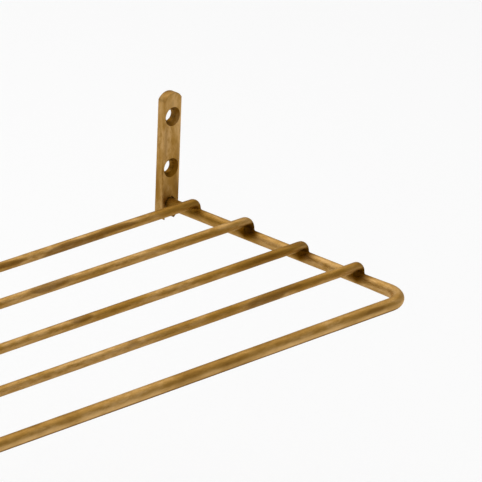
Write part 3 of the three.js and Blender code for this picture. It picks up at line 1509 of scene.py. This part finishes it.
@dataclass
class PivotPin:
    """A pivot pin, riveted over and filed down on both cheeks of its bracket."""

    side: Side
    finish: bpy.types.Material
    slot: str
    segments: int = 32
    chamfer: float = 0.22 * MM
    dome: float = 0.16 * MM
    dome_rings: tuple[float, ...] = (0.3, 0.6, 0.85)
    ring_share: float = 0.28
    head_depth: float = 0.3 * MM
    head_wear: float = 0.1
    head_dirt: float = 0.25
    shank_dirt: float = 0.7

    def __post_init__(self) -> None:
        """Reads the pin's place from the frame."""
        self.node = f"pivot_pin_{self.side.tag}"
        low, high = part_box(self.node)
        self.centre = (low + high) / 2
        self.half = (high.x - low.x) / 2
        self.radius = (high.z - low.z) / 2

    def build(self) -> bpy.types.Object:
        """Builds and dresses the pin.

        Returns:
            The finished piece.
        """
        bm = bmesh.new()
        rubbed = bm.verts.layers.float.new("rubbed")
        crevice = bm.verts.layers.float.new("crevice")
        place = Matrix.Translation(self.centre) @ Matrix.Rotation(QUARTER, 4, "Y")
        bmesh.ops.create_cone(
            bm,
            cap_ends=True,
            segments=self.segments,
            radius1=self.radius,
            radius2=self.radius,
            depth=2 * self.half,
            matrix=place,
        )
        rims = [e for e in bm.edges if abs(e.verts[0].co.x - e.verts[1].co.x) < 0.1 * MM]
        bmesh.ops.bevel(
            bm,
            geom=rims,
            offset=self.chamfer,
            segments=3,
            profile=0.5,
            affect="EDGES",
            material=-1,
        )
        caps = [f for f in bm.faces if len(f.verts) == self.segments]
        for cap in caps:
            self._dome(bm, cap)
        for vert in bm.verts:
            outer = abs(vert.co.x - self.centre.x) > self.half - self.head_depth
            vert[rubbed] = self.head_wear if outer else 0.0
            vert[crevice] = self.head_dirt if outer else self.shank_dirt
        piece = lay_down(bm, f"riveted_pin_{self.side.tag}", self.finish)
        return hand_over(piece, Body.BRACKETS, self.node)

    def _dome(self, bm: bmesh.types.BMesh, cap: bmesh.types.BMFace) -> None:
        """Raises a pin's end into the low dome a hammer leaves.

        Args:
            bm: the mesh.
            cap: the flat end.
        """
        way = 1.0 if cap.calc_center_median().x > self.centre.x else -1.0
        reach = self.radius - self.chamfer
        for share in self.dome_rings:
            bmesh.ops.inset_region(bm, faces=[cap], thickness=reach * self.ring_share, depth=0.0)
            for vert in cap.verts:
                vert.co.x += way * self.dome * (0.5 - share * 0.35)
        centre = cap.calc_center_median() + Vector((way * self.dome * 0.08, 0.0, 0.0))
        bmesh.ops.poke(bm, faces=[cap])["verts"][0].co = centre


# --------------------------------------------------------------------------- studio


@dataclass(frozen=True)
class Lamp:
    """A square light: its place from the object's middle, its side and its power in watts."""

    name: str
    offset: Vector
    size: float
    power: float


@dataclass
class Studio:
    """The plain pale floor, the soft lights and the camera."""

    folded_reach: float
    floor_drop: float = 12 * MM
    floor_size: float = 30.0
    floor_shade: Rgb = (0.95, 0.95, 0.95)
    floor_roughness: float = 0.9
    room_light: float = 0.5
    lens: float = 409.62
    sensor: float = 36.0
    clip: tuple[float, float] = (0.05, 60.0)
    viewpoint: tuple[float, float, float] = (-1.93393, -2.21515, 1.21953)
    yaw: float = 46.131
    tilt: float = 21.58
    roll: float = 2.226

    def build(self, low: Vector, high: Vector) -> None:
        """Sets up everything round the object.

        Args:
            low: lowest corner of the object.
            high: highest corner of the object.
        """
        self._floor(-self.folded_reach - self.floor_drop)
        self._world()
        middle = (low + high) / 2
        for lamp in (
            Lamp("overhead", Vector((0.3, 0.6, 2.8)), 4.5, 80.0),
            Lamp("front", Vector((-2.4, -2.2, 2.0)), 1.8, 12.0),
        ):
            self._hang(lamp, middle)
        self._camera()

    def _floor(self, height: float) -> None:
        """Lays the floor.

        Args:
            height: its level, clear of the rack when that hangs down.
        """
        bm = bmesh.new()
        bmesh.ops.create_grid(bm, x_segments=2, y_segments=2, size=self.floor_size)
        bmesh.ops.translate(bm, vec=(0.0, 0.0, height), verts=bm.verts)
        material = bpy.data.materials.new("pale_floor")
        material.use_nodes = True
        shader = material.node_tree.nodes["Principled BSDF"]
        shader.inputs["Base Color"].default_value = colour(self.floor_shade)
        shader.inputs["Roughness"].default_value = self.floor_roughness
        mesh = bpy.data.meshes.new("floor")
        bm.to_mesh(mesh)
        bm.free()
        mesh.materials.append(material)
        put_in_scene("floor", mesh)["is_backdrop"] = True

    def _world(self) -> None:
        """Fills the room with soft, even light."""
        world = bpy.data.worlds.new("studio")
        world.use_nodes = True
        sky = world.node_tree.nodes["Background"]
        sky.inputs["Color"].default_value = colour(PLAIN)
        sky.inputs["Strength"].default_value = self.room_light
        bpy.context.scene.world = world

    def _hang(self, lamp: Lamp, middle: Vector) -> None:
        """Adds one light that faces the object.

        Args:
            lamp: the light.
            middle: the object's middle.
        """
        data = bpy.data.lights.new(lamp.name, "AREA")
        data.shape = "SQUARE"
        data.size = lamp.size
        data.energy = lamp.power
        light = put_in_scene(lamp.name, data)
        light.location = middle + lamp.offset
        light.rotation_mode = "QUATERNION"
        light.rotation_quaternion = (-lamp.offset).to_track_quat("-Z", "Y")

    def _camera(self) -> None:
        """Puts the camera up front on the left, looking down along the rack."""
        data = bpy.data.cameras.new("camera")
        data.sensor_width = self.sensor
        data.lens = self.lens
        data.clip_start, data.clip_end = self.clip
        yaw, tilt = math.radians(self.yaw), math.radians(self.tilt)
        level = Vector((math.sin(yaw), math.cos(yaw), 0.0)) * math.cos(tilt)
        ahead = level - Vector((0.0, 0.0, math.sin(tilt)))
        turn = Matrix.Rotation(math.radians(self.roll), 3, "Z").to_quaternion()
        camera = put_in_scene("camera", data)
        camera.location = self.viewpoint
        camera.rotation_mode = "QUATERNION"
        camera.rotation_quaternion = ahead.to_track_quat("-Z", "Y") @ turn
        bpy.context.scene.camera = camera


# --------------------------------------------------------------------------- putting it together


def main() -> None:
    """Builds the whole rack round its frame."""
    logging.basicConfig(level=logging.INFO, format="%(name)s: %(message)s")
    noise.seed_set(NOISE_SEED)
    cad_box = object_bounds()
    low, high = cad_box
    groups = BrassGroups()
    bar_finish = BrassFinish("frame_bar_brass", "bar_brass", Space.BAR, stretch=(0.3, 1.0, 1.0))
    rod_finish = BrassFinish(
        "cross_rod_brass", "rod_brass", Space.BAR, stretch=(0.25, 1.0, 1.0), seed=(3.0, 1.0, 0.0)
    )
    plate_finish = BrassFinish(
        "bracket_brass",
        "bracket_brass",
        Space.OBJECT,
        stretch=(1.0, 1.0, 0.45),
        drawn=(1.0, 1.0, 0.06),
    )
    pin_finish = BrassFinish("pin_brass", "pin_brass", Space.OBJECT, smooth=0.3, dull=0.5)

    rod_boxes = [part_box(f"cross_rod_{number}") for number in range(1, 5)]
    feet = [((near.y + far.y) / 2, soot_and_shade) for (near, far), soot_and_shade in zip(rod_boxes, ROD_SOOT_AND_SHADE)]
    bar = FrameBar(bar_finish.build(groups), bar_finish.slot, feet=feet)
    bar.build()
    rod_material = rod_finish.build(groups)
    for number, (bend, soot_and_shade) in enumerate(zip(ROD_BENDS, ROD_SOOT_AND_SHADE), start=1):
        CrossRod(number, bar.arms, rod_material, rod_finish.slot, bend, soot_and_shade=soot_and_shade).build()
    plate_material = plate_finish.build(groups)
    pin_material = pin_finish.build(groups)
    for side in Side:
        WallBracket(side, plate_material, plate_finish.slot).build()
        PivotPin(side, pin_material, pin_finish.slot).build()
    Studio(folded_reach=-low.y).build(low, high)
    bpy.context.scene.view_settings.view_transform = "Standard"
    bpy.context.view_layer.update()


if __name__ == "__main__":
    main()
